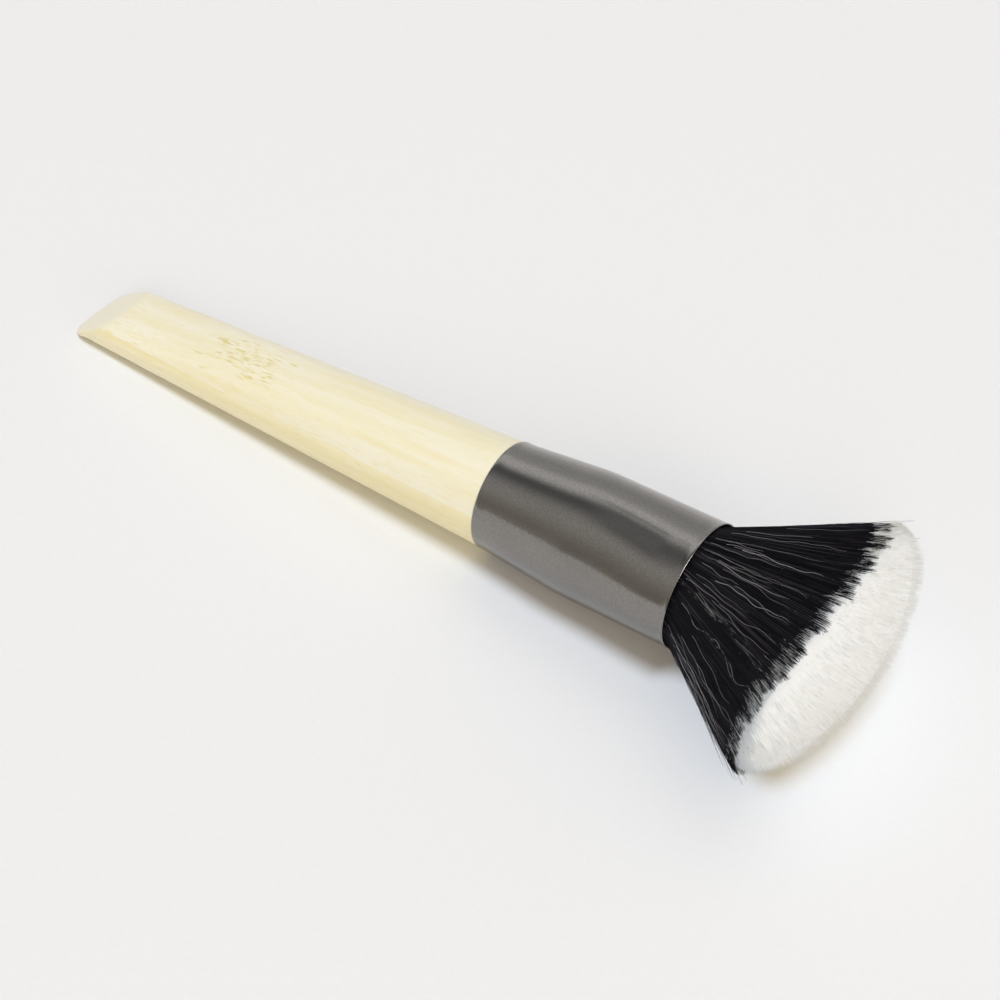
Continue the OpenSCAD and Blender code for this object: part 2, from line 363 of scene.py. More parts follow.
def speckled(name, colour, second, rough_low, rough_high, bump_strength=0.1, **sockets):
    """An even finish that is speckled between two colours."""
    return grouped_material(
        name, SPECKLE,
        {"Colour": (*colour, 1), "Second Colour": (*second, 1), "Rough Low": rough_low,
         "Rough High": rough_high},
        bump_strength=bump_strength, bump_distance=0.0001, **sockets,
    )


def fibre(name, root, tip, odd, odd_share, **sockets):
    """Fibres that change colour near their tips, with a share of odd ones among them."""
    return grouped_material(
        name, STRAND,
        {"Root Colour": (*root, 1), "Tip Colour": (*tip, 1), "Odd Colour": (*odd, 1),
         "Odd Share": odd_share},
        **sockets,
    )


def let_light_past(material, share, tint):
    """Lets a share of the lamps' light past a material, tinted on its way."""
    tree = material.node_tree
    surface = next(n for n in tree.nodes if n.type == "OUTPUT_MATERIAL").inputs["Surface"]
    opaque = surface.links[0].from_socket
    clear = node(tree, "ShaderNodeBsdfTransparent", {"Color": (*tint, 1)}).outputs[0]
    shadow_ray = node(tree, "ShaderNodeLightPath").outputs["Is Shadow Ray"]
    passed = math_node(tree, "MULTIPLY", shadow_ray, share)
    mix = node(tree, "ShaderNodeMixShader", {"Fac": passed, 1: opaque, 2: clear})
    tree.links.new(mix.outputs[0], surface)


GRAIN, SPECKLE, STRAND = bamboo_grain(), speckle_group(), strand_group()

# The plies differ in colour as laminated bamboo does. They also run from paler on top to darker and
# yellower below: painted light on the handle's top and painted shade on its underside.
UPPER_BAMBOO_PAINTED_LIGHT = bamboo(
    "upper_bamboo", pale=(0.96, 0.927, 0.765), streak=(0.885, 0.79, 0.435), seed=(0, 0, 0),
    mark=(-60.0, -1.5, 8.0),
)
CORE_BAMBOO = bamboo(
    "core_bamboo", pale=(0.94, 0.88, 0.60), streak=(0.87, 0.76, 0.36), seed=(31, 7, 3),
    mark=(-22.0, 9.0, 0.0),
)
LOWER_BAMBOO_PAINTED_SHADE = bamboo(
    "lower_bamboo", pale=(0.93, 0.845, 0.50), streak=(0.85, 0.70, 0.29), seed=(53, -9, 5),
    mark=(-41.0, 3.0, -9.0),
)
GUNMETAL = speckled(
    "satin_gunmetal", colour=(0.285, 0.272, 0.259), second=(0.225, 0.215, 0.203),
    rough_low=0.12, rough_high=0.17, Metallic=1.0,
)
SET_GLUE = speckled(
    "set_glue", colour=(0.72, 0.56, 0.26), second=(0.62, 0.46, 0.2), rough_low=0.25,
    rough_high=0.4,
)
SET_RESIN = speckled(
    "set_resin", colour=(0.6, 0.44, 0.2), second=(0.5, 0.36, 0.16), rough_low=0.3,
    rough_high=0.45,
)
WOUND_THREAD = speckled(
    "wound_thread", colour=(0.8, 0.77, 0.68), second=(0.66, 0.63, 0.55), rough_low=0.6,
    rough_high=0.8, bump_strength=0.5,
)
BLACK_FIBRE = fibre(
    "black_fibre", root=(0.0045, 0.004, 0.006), tip=(0.009, 0.008, 0.011),
    odd=(0.036, 0.034, 0.040), odd_share=0.14, Specular_IOR_Level=0.1,
)
# The white fibres' tips are creamier and darker than their roots. This is partly the fibres' own
# colour and partly painted shade, standing in for the shade along the dome's edge where the tips
# end.
WHITE_TONES_PAINTED_TIP_SHADE = {
    "root": (0.94, 0.952, 0.965), "tip": (0.92, 0.90, 0.84), "odd": (0.62, 0.60, 0.56),
    "odd_share": 0.03, "Specular_IOR_Level": 0.3,
}
WHITE_FIBRE = fibre("white_fibre", **WHITE_TONES_PAINTED_TIP_SHADE, Sheen_Weight=0.6, Sheen_Roughness=0.5)
PALE_HEART = fibre("pale_heart", **WHITE_TONES_PAINTED_TIP_SHADE)
let_light_past(PALE_HEART, share=0.5, tint=(1.0, 0.82, 0.42))
STRAY_FIBRE = fibre(
    "stray_fibre", root=(0.34, 0.34, 0.36), tip=(0.40, 0.40, 0.42), odd=(0.62, 0.62, 0.64),
    odd_share=0.2, Specular_IOR_Level=0.5,
)


# ---------------------------------------------------------------- making pieces


def in_scene(name, data):
    """Puts a mesh, curve, lamp or camera in the scene as an object."""
    made = bpy.data.objects.new(name, data)
    bpy.context.scene.collection.objects.link(made)
    return made


def placed(name, mesh, material, slot, *nodes):
    """Makes a finished mesh a piece that rides on the brush and stands for its CAD nodes."""
    piece = in_scene(name, mesh)
    mesh.materials.append(material)
    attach(piece, "root")
    if nodes:
        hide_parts(*nodes)
    return piece


def laid_down(name, bm, material, slot, *nodes):
    """Takes a bmesh in the brush's own mm to its rest and makes it a piece."""
    bm.transform(TO_REST)
    mesh = bpy.data.meshes.new(name)
    bm.to_mesh(mesh)
    bm.free()
    return placed(name, mesh, material, slot, *nodes)


def smoothed(bm):
    """Turns a bmesh's faces outwards and shades them smooth."""
    bmesh.ops.recalc_face_normals(bm, faces=bm.faces)
    for face in bm.faces:
        face.smooth = True
    return bm


def turned(profile, steps, closed=False):
    """Spins a profile of (x, radius) pairs round the brush's axis."""
    bm = bmesh.new()
    row = [bm.verts.new((x, 0, r)) for x, r in profile]
    pairs = list(zip(row, row[1:])) + ([(row[-1], row[0])] if closed else [])
    edges = [bm.edges.new(pair) for pair in pairs]
    bmesh.ops.spin(
        bm, geom=row + edges, cent=(0, 0, 0), axis=(1, 0, 0), angle=math.tau, steps=steps,
        use_merge=True, use_duplicate=False,
    )
    bmesh.ops.remove_doubles(bm, verts=bm.verts, dist=SAME_PLACE)
    return smoothed(bm)


def split_at(bm, place, across, clear=False):
    """Cuts a bmesh at a plane, clears what lies beyond it if asked, and returns the open edges."""
    bmesh.ops.bisect_plane(
        bm, geom=bm.verts[:] + bm.edges[:] + bm.faces[:], dist=ON_PLANE, plane_co=place,
        plane_no=across, clear_outer=clear,
    )
    return [edge for edge in bm.edges if edge.is_boundary]


def stations(start, end, step):
    """Even places from a start to an end, about a step apart."""
    count = max(1, round(abs(end - start) / step))
    return [start + (end - start) * i / count for i in range(count + 1)]


def unit(value):
    return min(max(value, 0), 1)


# ---------------------------------------------------------------- handle


def end_section(turn):
    """Point of the flattened end's superellipse whose outward direction is at an angle."""
    a, b, power = TIP_W / 2, TIP_T / 2, 1 / (TIP_SQUARENESS - 1)
    c, s = math.cos(turn), math.sin(turn)
    q = TIP_SQUARENESS * power
    reach = ((a * abs(c)) ** q + (b * abs(s)) ** q) ** (1 / q)
    return (
        math.copysign(a * (a * abs(c) / reach) ** power, c),
        math.copysign(b * (b * abs(s) / reach) ** power, s),
    )


def handle_form():
    """The whole handle with its tenon: ruled from a circle to the flattened end, then chiselled."""
    overrun, ring_step, last_ring = 1.0, 13.0, 0.4
    tenon, chamfer_l, chamfer_share = TENON_R / HANDLE_R, 0.4, 0.04
    cut_rings, rim_segments, rim_inset = (3.0, 1.8), 6, 0.08
    # Pairs of x and share of the radius
    profile = [(-HANDLE_L - overrun, 0.0), (-HANDLE_L - overrun, 1.0)]
    profile += [(x, 1.0) for x in stations(-HANDLE_L, -last_ring, ring_step)]
    profile += [(0.0, 1.0), (0.0, tenon), (TENON_L - chamfer_l, tenon)]
    profile += [(TENON_L, tenon - chamfer_share), (TENON_L, 0.0)]
    bm = turned(profile, HANDLE_STEPS)
    for vert in bm.verts:
        x, y, z = vert.co
        share = unit(-x / HANDLE_L)
        radius, turn = math.hypot(y, z), math.atan2(z, y)
        end_y, end_z = end_section(turn)
        vert.co = (
            x,
            radius * (HANDLE_R * math.cos(turn) * (1 - share) + end_y * share),
            radius * (HANDLE_R * math.sin(turn) * (1 - share) + end_z * share),
        )
    # Rings beside the slanted cut, which keep the long faces smooth, then the cut and its rim
    for depth in cut_rings:
        split_at(bm, CUT_EDGE - CUT_ACROSS * depth, CUT_ACROSS)
    rim = split_at(bm, CUT_EDGE, CUT_ACROSS, clear=True)
    cut = bmesh.ops.contextual_create(bm, geom=rim)["faces"][0]
    bmesh.ops.bevel(
        bm, geom=list(cut.edges), offset=CHISEL_ROUNDING, segments=rim_segments, profile=0.5,
        affect="EDGES", material=-1, clamp_overlap=True,
    )
    cut = max(bm.faces, key=lambda face: len(face.verts))
    bmesh.ops.inset_individual(bm, faces=[cut], thickness=rim_inset)
    return smoothed(bm)


def ply(form, low=None, high=None):
    """The layer of the handle between two heights over its axis, closed where it is cut."""
    bm = form.copy()
    for height, side in ((low, -1), (high, 1)):
        if height is None:
            continue
        rim = split_at(bm, (0, 0, height), (0, 0, side), clear=True)
        for face in bmesh.ops.contextual_create(bm, geom=rim)["faces"]:
            face.smooth = False
        for edge in rim:
            edge.smooth = False
    return bm


form = handle_form()
for name, layer, material, slot, cad_node in (
    ("handle_upper_bamboo", ply(form, low=PLY_EDGE), UPPER_BAMBOO_PAINTED_LIGHT, "bamboo",
     "handle_upper_ply"),
    ("handle_core_bamboo", ply(form, -PLY_EDGE, PLY_EDGE), CORE_BAMBOO, "bamboo_core",
     "handle_core_ply"),
    ("handle_lower_bamboo", ply(form, high=-PLY_EDGE), LOWER_BAMBOO_PAINTED_SHADE, "bamboo",
     "handle_lower_ply"),
):
    laid_down(name, layer, material, slot, cad_node)
form.free()


# ---------------------------------------------------------------- ferrule


def eased(share, first, last):
    """A straight rise from 0 to 1 whose two ends are rounded over the given shares."""
    share, slope = unit(share), 1 / (1 - (first + last) / 2)
    if share < first:
        return slope * share * share / (2 * first)
    if share > 1 - last:
        return 1 - slope * (1 - share) ** 2 / (2 * last)
    return slope * (share - first / 2)


def half_size(x):
    """Half width and half height of the ferrule's outer face."""
    swell = eased((x - BARREL_L) / (BELLY_X - BARREL_L), first=0.08, last=0.2)
    flat = (x - BELLY_X) / (FERRULE_L - MOUTH_L - BELLY_X)
    flatten = eased(flat, first=0.42, last=0.12)
    rear = BARREL_R + (BELLY_R - BARREL_R) * swell
    return rear + (MOUTH_A - BELLY_R) * flatten, rear + (MOUTH_B - BELLY_R) * flatten


def ferrule_shell():
    """The ferrule's wall: a rounded back edge, and a bead and a lip at the mouth."""
    # Pairs of x and depth under the outer face, on a plain tube that is shaped afterwards
    tube_r, bead_points, step, inner_step = 10.0, 8, 0.75, 1.6
    after_back, before_lip = 0.8, FERRULE_L - 0.4
    back = [(0.12, FERRULE_WALL), (0.02, 0.4), (0.0, 0.25), (0.05, 0.09), (0.25, 0.0)]
    outer = [(x, 0.0) for x in stations(after_back, FERRULE_L - BEAD_L, step)]
    bead = [
        (FERRULE_L - BEAD_L * (1 - i / bead_points),
         -BEAD_H * math.sin(math.pi * i / (bead_points + 2)))
        for i in range(1, bead_points + 1)
    ]
    lip = [
        (FERRULE_L, 0.06), (FERRULE_L + 0.02, 0.2), (FERRULE_L - 0.04, 0.36),
        (FERRULE_L - 0.18, 0.47),
    ]
    inner = [(x, FERRULE_WALL) for x in stations(before_lip, after_back, inner_step)]
    profile = [(x, tube_r - depth) for x, depth in back + outer + bead + lip + inner]
    bm = turned(profile, FERRULE_STEPS, closed=True)
    for vert in bm.verts:
        x, y, z = vert.co
        radius = math.hypot(y, z)
        depth = tube_r - radius
        half_w, half_h = half_size(x)
        vert.co = (x, (half_w - depth) * y / radius, (half_h - depth) * z / radius)
    return bm


laid_down("ferrule_shell", ferrule_shell(), GUNMETAL, "gunmetal", "ferrule")


# ---------------------------------------------------------------- tuft


def in_disc(u, v):
    """Takes a place in the square of fibre places to the round one."""
    return u * np.sqrt(1 - v * v / 2), v * np.sqrt(1 - u * u / 2)


def fan_point(u, v, s):
    """Place at free length s of the fibre that starts at u, v."""
    p, q = in_disc(u, v)
    opened = np.maximum(s, 0)
    return np.stack(
        [FERRULE_L + s, p * (ROOT_A + OPEN_Y * opened), q * (ROOT_B + OPEN_Z * opened)], axis=-1
    )


def dome_form(p, q):
    """Free length of the dome at a place in the round section."""
    return TUFT_L - (TUFT_L - SIDE_L) * p * p - (TUFT_L - FACE_L) * q * q


def dome_reach(u, v):
    """Free length of the white fibres, falling off towards the rim of the fan."""
    rim_start, rim_width, rim_drop = 0.66, 0.34, 2.5
    p, q = in_disc(u, v)
    rim = np.clip((np.hypot(p, q) - rim_start) / rim_width, 0, 1)
    return dome_form(p, q) - rim_drop * rim * rim


def black_reach(u, v):
    """Free length of the black fibres: less under the fan and at its sides, the far one most."""
    far_drop, under_drop = 5.2, 3.0
    p, q = in_disc(u, v)
    far, under = far_drop * np.maximum(p, 0) ** 3, under_drop * np.maximum(-q, 0) ** 2
    return BLACK_L - (BLACK_L - BLACK_SIDE_L) * p * p - far - under


def strand_profile():
    """The three-cornered section of every fibre, drawn with a radius of one."""
    corners = 3
    curve = bpy.data.curves.new("strand_section", "CURVE")
    spline = curve.splines.new("POLY")
    spline.points.add(corners - 1)
    for i, point in enumerate(spline.points):
        turn = math.tau * i / corners
        point.co = (math.cos(turn), math.sin(turn), 0, 1)
    spline.use_cyclic_u = True
    return in_scene("strand_section", curve)


section = strand_profile()


def drawn_curves(name, paths, radii):
    """A mesh of fibres: at rest in the frame, with the strand section along each path."""
    count, points = paths.shape[:2]
    turn = np.array(TO_REST.to_3x3(), float)
    laid = paths @ turn.T + np.array(TO_REST.translation, float)
    places = np.concatenate([laid, np.ones((count, points, 1))], axis=2).astype(np.float32)
    sizes = (radii * MM).astype(np.float32)
    curve = bpy.data.curves.new(name, "CURVE")
    curve.dimensions = "3D"
    curve.bevel_mode = "OBJECT"
    curve.bevel_object = section
    curve.use_fill_caps = True
    for place, size in zip(places, sizes):
        spline = curve.splines.new("POLY")
        spline.points.add(points - 1)
        spline.points.foreach_set("co", place.ravel())
        spline.points.foreach_set("radius", size)
    drawn = in_scene(name + "_line", curve)
    depsgraph = bpy.context.evaluated_depsgraph_get()
    mesh = bpy.data.meshes.new_from_object(drawn.evaluated_get(depsgraph))
    bpy.data.objects.remove(drawn)
    bpy.data.curves.remove(curve)
    mesh.name = name
    mesh.materials.clear()
    return mesh


def mark_points(mesh, label, values):
    """Gives each point of a mesh its value, which the strand shader reads."""
    layer = mesh.attributes.new(label, "FLOAT", "POINT")
    layer.data.foreach_set("value", values.astype(np.float32))


def combed(name, paths, radii, along, material, slot, *nodes):
    """Makes one piece of many fibres: paths in the brush's own mm, with a radius at each point."""
    count, points = paths.shape[:2]
    same_corner = 0.00000001
    mesh = drawn_curves(name, paths, radii)
    # Blender lists the end caps first, from the last fibre back to the first, and then the tubes
    corners = len(section.data.splines[0].points)
    tones = chance.random(count)
    ends = np.repeat(along[::-1][:, [-1, 0]].ravel(), corners)
    mark_points(mesh, "along", np.concatenate([ends, np.repeat(along.ravel(), corners)]))
    ends = np.repeat(tones[::-1], 2 * corners)
    mark_points(mesh, "tone", np.concatenate([ends, np.repeat(tones, corners * points)]))
    bm = bmesh.new()
    bm.from_mesh(mesh)
    bmesh.ops.remove_doubles(bm, verts=bm.verts, dist=same_corner)
    bm.to_mesh(mesh)
    bm.free()
    mesh.shade_smooth()
    return placed(name, mesh, material, slot, *nodes)


def comb_pieces(name, parts, paths, radii, along, material, slot, *nodes):
    """Shares a crowd of fibres out over pieces that each stay small enough."""
    return [
        combed(f"{name}_{i + 1}", paths[share], radii[share], along[share], material, slot, *nodes)
        for i, share in enumerate(np.array_split(np.arange(len(paths)), parts))
    ]


def clump_centres(across, through, depth=1.0):
    """Middles of the clumps in the tuft's outer depth, each a little out of a square grid."""
    loose, edge = 0.42, 0.99
    u, v = np.meshgrid(
        (2 * np.arange(across) + 1) / across - 1, (2 * np.arange(through) + 1) / through - 1
    )
    u = u.ravel() + chance.uniform(-loose, loose, u.size) * 2 / across
    v = v.ravel() + chance.uniform(-loose, loose, v.size) * 2 / through
    u, v = np.clip(u, -edge, edge), np.clip(v, -edge, edge)
    outer = np.maximum(np.abs(u), np.abs(v)) > 1 - depth
    return u[outer], v[outer]


def fibres(
    clumps, count, spread, length, pull, wave, radius, point, even,
    root_depth=0.0, from_share=0.0, lift=None,
):
    """Paths, radii and shares of the way along of fibres that draw to their clumps at the tips.

    Each starts at a depth in the ferrule or a share of its free length. It stands off its clump
    by up to spread, bends by about wave, and tapers from radius to the share point of it. Lengths
    vary by even, and lift is the share of the section it keeps to under the black tips.
    """
    points, point_power, draw_power = 6, 0.8, 5
    taper_start, taper_width, taper_power = 0.45, 0.55, 1.8
    past_black = 0.4
    least_pull, most_pull = 0.4, 1.2
    fewest_bends, most_bends = 0.4, 1.3
    thinnest, thickest = 0.8, 1.15
    clump_u, clump_v, clump_length = clumps
    pick = chance.integers(0, len(clump_u), count)
    cu, cv = clump_u[pick], clump_v[pick]
    u = np.clip(cu + chance.uniform(-1, 1, count) * spread[0], -1, 1)
    v = np.clip(cv + chance.uniform(-1, 1, count) * spread[1], -1, 1)
    t = np.linspace(0, 1, points)[None, :] ** point_power
    ends = length(u, v) * clump_length[pick] * (1 - np.abs(chance.normal(0, even, count)))
    begin = from_share * ends
    s = begin[:, None] + (ends - begin)[:, None] * t
    if root_depth:
        # Straight through the mouth of the ferrule, and only then outwards
        t = np.concatenate([[[0]], t], axis=1)
        s = np.concatenate([np.full((count, 1), -root_depth), s], axis=1)
    draw = pull * chance.uniform(least_pull, most_pull, count)[:, None] * t**draw_power
    uu = np.clip(u[:, None] * (1 - draw) + cu[:, None] * draw, -1, 1)
    vv = np.clip(v[:, None] * (1 - draw) + cv[:, None] * draw, -1, 1)
    if lift:
        over = s - black_reach(u, v)[:, None] + LIFT_BACK
        rise = np.clip(over / (LIFT_BACK + past_black), 0, 1)
        rise = lift + (1 - lift) * rise * rise * (3 - 2 * rise)
        uu, vv = uu * rise, vv * rise
    paths = fan_point(uu, vv, s)
    sway = chance.normal(0, 1, (count, 2, 1)) * np.sin(
        t[:, None, :] * math.tau * chance.uniform(fewest_bends, most_bends, (count, 1, 1))
        + chance.uniform(0, math.tau, (count, 1, 1))
    )
    paths[:, :, 1] += wave * sway[:, 0] * t
    paths[:, :, 2] += wave * sway[:, 1] * t
    taper = 1 - (1 - point) * np.clip((t - taper_start) / taper_width, 0, 1) ** taper_power
    radii = radius * chance.uniform(thinnest, thickest, count)[:, None] * taper
    return paths, radii, np.broadcast_to(t, radii.shape)


BLACK_TUFT = BLACK_FIBRE, "black_fibre", "black_bristles"
WHITE_TUFT = WHITE_FIBRE, "white_fibre", "white_bristles"

# Black shell: its clumps end at ragged lengths
LONGEST_SHARE, SHORTER_BY = 1.09, 0.06
u, v = clump_centres(88, 50, depth=0.15)
ragged = LONGEST_SHARE - np.abs(chance.normal(0, SHORTER_BY, len(u)))
ragged += 0.022 * np.sin(19 * u + 2) + 0.018 * np.sin(43 * u + 3 * v)
black = fibres(
    (u, v, ragged), count=20000, spread=(0.018, 0.028), length=black_reach, pull=0.45,
    wave=0.13, radius=0.08, point=0.35, even=0.045, root_depth=2.5,
)
unshaded = comb_pieces("black_fibres", 4, *black, *BLACK_TUFT)

# White fibres that come out from under the black tips, round the rim of the fan
u, v = clump_centres(60, 36, depth=0.14)
white_rim = fibres(
    (u, v, np.ones(len(u))), count=13500, spread=(0.02, 0.03), length=dome_reach, pull=0.25,
    wave=0.12, radius=0.055, point=0.15, even=0.07, from_share=0.55, lift=UNDER_BLACK,
)
unshaded += comb_pieces("white_rim_fibres", 3, *white_rim, *WHITE_TUFT)

# White fibres that fill the dome
u, v = clump_centres(44, 24)
white_dome = fibres(
    (u, v, np.ones(len(u))), count=21500, spread=(0.03, 0.05), length=dome_reach, pull=0.2,
    wave=0.12, radius=0.06, point=0.15, even=0.055, from_share=0.66, lift=0.92,
)
unshaded += comb_pieces("white_dome_fibres", 4, *white_dome, *WHITE_TUFT)


def packed_core(name, material, slot, *nodes, start, reach, fill):
    """The mass of fibres too deep to tell apart: a closed form just under the fibres that show.

    It runs from the free length start to what reach gives over the round section, and fills the
    share of the section that fill gives for a free length.
    """
    rings, root_share, cap = 14, 0.6, (0.85, 0.7, 0.55, 0.4, 0.25, 0.1, 0.0)
    like_fibres = {"along": 0.8, "tone": 0.5}
    profile = [(0.0, 0.0), (0.0, root_share)] + [(float(i), 1.0) for i in range(rings + 1)]
    profile += [(float(rings), share) for share in cap]
    bm = turned(profile, CORE_STEPS)
    for vert in bm.verts:
        ring, y, z = vert.co
        radius, turn = math.hypot(y, z), math.atan2(z, y)
        first, last = max(start, 0), reach(radius * math.cos(turn), radius * math.sin(turn))
        s = start if ring < 0.5 else first + (last - first) * (ring - 1) / (rings - 1)
        radius *= fill(s)
        vert.co = (
            FERRULE_L + s,
            radius * math.cos(turn) * (ROOT_A + OPEN_Y * max(s, 0)),
            radius * math.sin(turn) * (ROOT_B + OPEN_Z * max(s, 0)),
        )
    bmesh.ops.remove_doubles(bm, verts=bm.verts, dist=SAME_PLACE)
    piece = laid_down(name, smoothed(bm), material, slot, *nodes)
    for label, value in like_fibres.items():
        mark_points(piece.data, label, np.full(len(piece.data.vertices), value))
    return piece


def white_core_fill(s):
    """Just inside the white fibres: less of the section where black ones lie round them."""
    inset, opening = 0.02, 0.11
    return UNDER_BLACK - inset + opening * unit((s - BLACK_L + LIFT_BACK) / LIFT_BACK)


unshaded += [
    packed_core(
        "black_core", *BLACK_TUFT, start=-3.0, reach=lambda p, q: 26.0 - 2.5 * p * p,
        fill=lambda s: 0.92 - 0.0074 * max(s, 0),
    ),
    packed_core(
        "white_core", *WHITE_TUFT, start=21.0, reach=lambda p, q: 0.95 * dome_form(p, q),
        fill=white_core_fill,
    ),
]

# The dense hearts inside the two cores, which alone hold light back from the floor
packed_core(
    "black_heart", *BLACK_TUFT, start=-3.0, reach=lambda p, q: 22.0,
    fill=lambda s: 0.90 - 0.50 * unit(s / 8.0),
)
packed_core(
    "white_heart", PALE_HEART, *WHITE_TUFT[1:], start=19.0,
    reach=lambda p, q: 0.93 * dome_form(p, q), fill=lambda s: 0.40 + 0.50 * unit((s - 19) / 11),
)


def stray_fibres(count):
    """Pale crinkled fibres that have worked their way over the black ones."""
    points, radius, latest_start, shortest, longest = 20, 0.03, 12, 7, 24
    least_wave, most_wave, drift_by = 4, 8, 0.035
    # How far they lie off the fan's sides and faces, as a share of the section
    off_side, off_face = 1.02, 1.03
    # Shares on the upper face, on either face, and on the faces or the far side
    upper, flat_faces, not_near = 0.36, 0.6, 0.68
    edge = 1.9 * chance.random(count) ** 1.5 - 0.97
    face = chance.random(count)
    flat = face < flat_faces
    u = np.where(flat, edge, np.where(face < not_near, 1.0, -1.0))
    v = np.where(flat, np.where(face < upper, 1.0, -1.0), edge)
    begin = chance.uniform(0, latest_start, count)
    ends = np.minimum(begin + chance.uniform(shortest, longest, count), BLACK_SIDE_L)
    t = np.linspace(0, 1, points)[None, :]
    s = begin[:, None] + (ends - begin)[:, None] * t
    phase = chance.uniform(0, math.tau, (count, 2))[:, :, None]
    wavelength = chance.uniform(least_wave, most_wave, (count, 1))
    crinkle = 0.010 * np.sin(s / wavelength * math.tau + phase[:, 0])
    crinkle += 0.018 * np.sin(s / wavelength * 2.6 + phase[:, 1])
    drift = chance.normal(0, drift_by, (count, 1)) * t + crinkle
    flat = flat[:, None]
    uu = np.where(flat, u[:, None] + drift, u[:, None] * off_side)
    vv = np.where(flat, v[:, None] * off_face, v[:, None] + drift * 2)
    taper = 1 - 0.6 * t**3
    radii = radius * chance.uniform(0.6, 1.3, (count, 1)) * taper * np.ones((count, 1))
    return fan_point(uu, vv, s), radii, np.broadcast_to(t, radii.shape)


def flyaway_fibres(count):
    """Black fibres that stand off from the two sides of the fan."""
    points, radius, root_depth, near_share = 8, 0.045, 2.0, 0.65
    shortest, longest, highest = 12, 27.5, 0.9
    stand_off, sway_by, root_inset = 0.022, 0.014, 0.98
    side = np.where(chance.random(count) < near_share, -1.0, 1.0)
    v = chance.uniform(-highest, highest, count)
    ends = chance.uniform(shortest, longest, count)
    t = np.linspace(0, 1, points)[None, :]
    s = -root_depth + (ends[:, None] + root_depth) * t
    off = 1.0 + np.abs(chance.normal(0, stand_off, (count, 1))) * t**2
    sway = chance.normal(0, sway_by, (count, 1))
    sway = sway * np.sin(t * math.tau * chance.uniform(0.6, 1.6, (count, 1)))
    paths = fan_point(side[:, None] * (off + sway), v[:, None] * np.ones((count, 1)) + sway, s)
    # A little inwards at the root, so that it comes out of the ferrule's mouth
    paths[:, 0, 1:] *= root_inset
    taper = 1 - 0.7 * t**2
    radii = radius * chance.uniform(0.7, 1.2, (count, 1)) * taper * np.ones((count, 1))
    return paths, radii, np.broadcast_to(t, radii.shape)


unshaded += [
    combed("stray_fibres", *stray_fibres(90), STRAY_FIBRE, "white_fibre"),
    combed("flyaway_fibres", *flyaway_fibres(200), BLACK_FIBRE, "black_fibre"),
]
bpy.data.curves.remove(section.data)

# Light passes between fine fibres, so only the hearts cast the tuft's shadow
for piece in unshaded:
    piece.visible_shadow = False

# The sealed pieces inside the ferrule keep their CAD shapes
for name, material in (
    ("tenon_adhesive", SET_GLUE), ("resin_plug", SET_RESIN), ("tuft_binding", WOUND_THREAD),
):
    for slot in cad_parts[name].material_slots:
        slot.material = material


# ---------------------------------------------------------------- studio


def studio_floor():
    """A pale table with the faintest weave."""
    bm = bmesh.new()
    bmesh.ops.create_grid(bm, x_segments=8, y_segments=8, size=6.0)
    mesh = bpy.data.meshes.new("studio_floor")
    bm.to_mesh(mesh)
    bm.free()
    floor = in_scene("studio_floor", mesh)
    material, tree, shader = new_material("pale_table", Roughness=0.8, Specular_IOR_Level=0.2)
    place = node(tree, "ShaderNodeTexCoord").outputs["Object"]
    weave = noise(tree, place, scale=900.0, detail=2, roughness=0.6)
    colour = blend_colour(tree, weave, (0.893, 0.905, 0.925, 1), (0.863, 0.875, 0.895, 1))
    tree.links.new(colour, shader["Base Color"])
    mesh.materials.append(material)


def tone_ramp(tree, share, stops):
    """Grey tones at shares of the way over, warmer towards the first."""
    warm_until, more_red, less_blue = 0.45, 0.08, 0.14
    ramp = node(tree, "ShaderNodeValToRGB", {"Fac": share})
    elements = ramp.color_ramp.elements
    while len(elements) < len(stops):
        elements.new(0.5)
    for element, (position, tone) in zip(elements, stops):
        warm = max(0.0, 1 - position / warm_until)
        element.position = position
        element.color = (tone * (1 + more_red * warm), tone, tone * (1 - less_blue * warm), 1)
    return ramp.outputs["Color"]


# Grey tones that the ferrule's rear and its flattened front mirror, as pairs of place and tone.
# Their places go from the horizon on the camera's side over the top to the far horizon.
REAR_TONES = [
    (0.00, 0.48), (0.08, 0.38), (0.16, 0.46), (0.23, 0.57), (0.31, 0.60), (0.37, 0.55),
    (0.43, 0.38), (0.47, 0.25), (0.50, 0.20), (0.54, 0.20), (0.57, 0.38), (0.60, 0.76),
    (0.65, 1.07), (0.70, 1.07), (0.77, 0.70), (0.88, 0.62), (1.00, 0.80),
]
FRONT_TONES = [
    (0.00, 0.36), (0.07, 0.33), (0.14, 0.42), (0.22, 0.52), (0.30, 0.64), (0.34, 0.60),
    (0.38, 0.40), (0.42, 0.27), (0.46, 0.32), (0.52, 0.32), (0.57, 0.26), (0.595, 0.36),
    (0.612, 0.88), (0.626, 0.42), (0.640, 0.42), (0.660, 1.07), (0.70, 1.07), (0.77, 0.68),
    (0.88, 0.60), (1.00, 0.80),
]


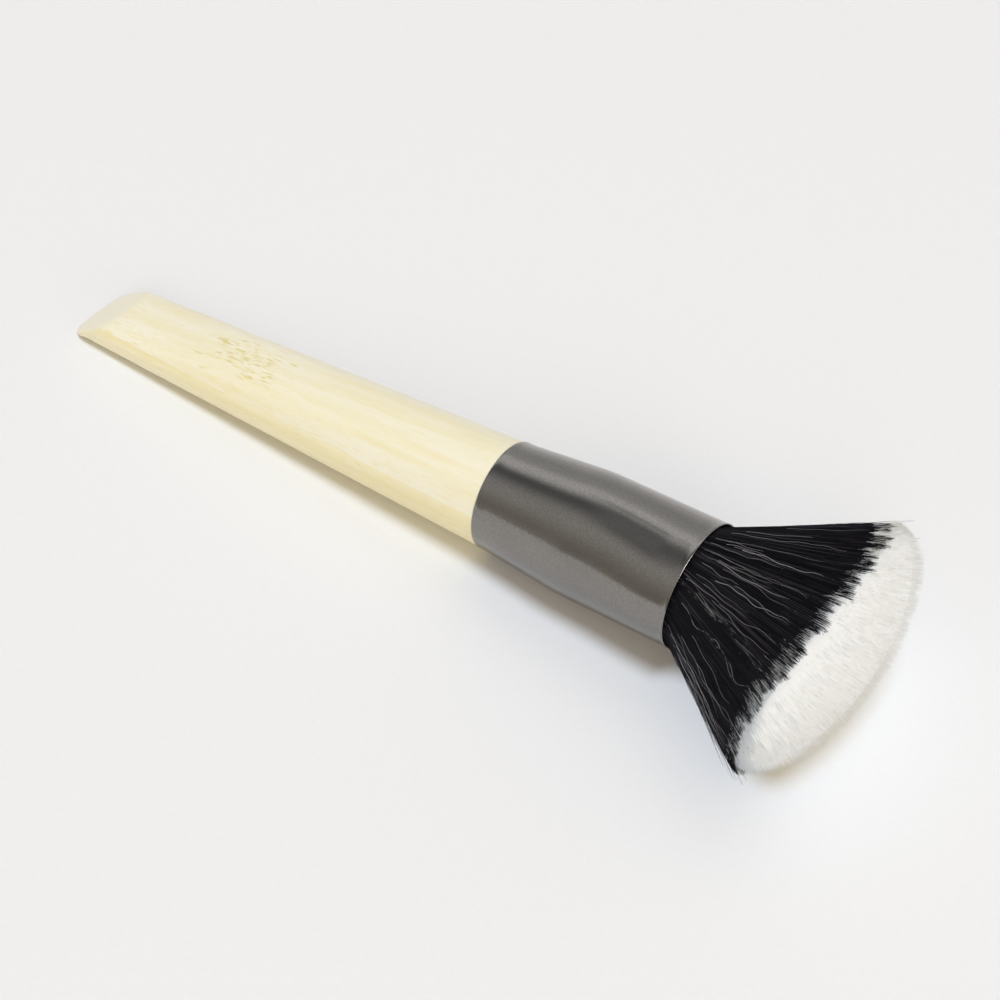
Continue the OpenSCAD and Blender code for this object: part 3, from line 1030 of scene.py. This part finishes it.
def studio_world():
    """What the ferrule mirrors, a dim warm light for all else, and a pale backdrop."""
    window_colour, backdrop = (14.0, 14.0, 14.0, 1), (0.88, 0.88, 0.88, 1)
    room_light = (0.355, 0.279, 0.185, 1)
    window_way, window_edge, front_edge = (0.887, 0.105, 0.452), (0.965, 0.985), (-0.43, -0.36)
    world = bpy.data.worlds.new("studio")
    bpy.context.scene.world = world
    world.use_nodes = True
    tree = world.node_tree
    toward = node(tree, "ShaderNodeTexCoord").outputs["Generated"]
    split = node(tree, "ShaderNodeSeparateXYZ", {0: toward}).outputs
    turn = math_node(tree, "ARCTAN2", split["Z"], math_node(tree, "MULTIPLY", split["Y"], -1.0))
    over = span(tree, turn, 0.0, math.pi)
    rear, front = tone_ramp(tree, over, REAR_TONES), tone_ramp(tree, over, FRONT_TONES)
    forward = span(tree, split["X"], *front_edge, smooth=True)
    mirrored = blend_colour(tree, forward, rear, front)
    # A small bright window in front, which glints on the rolled lip of the ferrule alone
    window = span(tree, vector_node(tree, "DOT_PRODUCT", toward, window_way), *window_edge)
    mirrored = blend_colour(tree, window, mirrored, window_colour)
    path = node(tree, "ShaderNodeLightPath").outputs
    colour = blend_colour(tree, path["Is Glossy Ray"], room_light, mirrored)
    colour = blend_colour(tree, path["Is Camera Ray"], colour, backdrop)
    tree.links.new(colour, tree.nodes["Background"].inputs["Color"])


def lamp(name, place, size, power, colour):
    """A round lamp that faces the brush and doesn't show in its reflections."""
    light = bpy.data.lights.new(name, "AREA")
    light.shape = "DISK"
    light.size = size
    light.energy = power
    light.color = colour
    holder = in_scene(name, light)
    holder.location = place
    holder.rotation_euler = (-Vector(place)).to_track_quat("-Z", "Y").to_euler()
    holder.visible_glossy = False


def photo_camera():
    """The photograph's view: where it sees the ferrule's back edge, and from which side."""
    pixels, focal, depth = 1000.0, 2200.0, 416.2
    edge_x, edge_y = 503.8, 495.0
    turn, rise = math.radians(124.3), math.radians(43.2)
    forward = Vector(
        (math.cos(turn) * math.cos(rise), math.sin(turn) * math.cos(rise), -math.sin(rise))
    )
    right = forward.cross(Vector((0, 0, 1))).normalized()
    down = forward.cross(right)
    seen_x, seen_y = (edge_x - pixels / 2) / focal, (edge_y - pixels / 2) / focal
    place = -depth * (right * seen_x + down * seen_y + forward)
    facing = Matrix((right, -down, -forward)).transposed().to_4x4()
    camera = in_scene("photo_camera", bpy.data.cameras.new("photo_camera"))
    camera.data.sensor_width = 36.0
    camera.data.lens = focal / pixels * camera.data.sensor_width
    camera.data.clip_start, camera.data.clip_end = 0.01, 50.0
    rest_turn = TO_REST.to_3x3().normalized().to_4x4()
    camera.matrix_world = Matrix.Translation(TO_REST @ place) @ rest_turn @ facing
    bpy.context.scene.camera = camera


studio_floor()
studio_world()
lamp("key_light", (0.2, -0.6, 4.8), size=1.9, power=124.0, colour=(0.885, 0.993, 1.135))
lamp("camera_side_fill", (2.1, -3.4, 2.15), size=2.4, power=42.0, colour=(1.0, 0.94, 0.84))
lamp("tip_fill", (4.0, -1.6, 1.3), size=1.5, power=20.0, colour=(1.0, 1.0, 1.0))
lamp("far_side_fill", (-0.3, 2.6, 4.0), size=3.0, power=20.0, colour=(1.0, 0.98, 0.95))
photo_camera()
bpy.context.scene.view_settings.view_transform = "Standard"
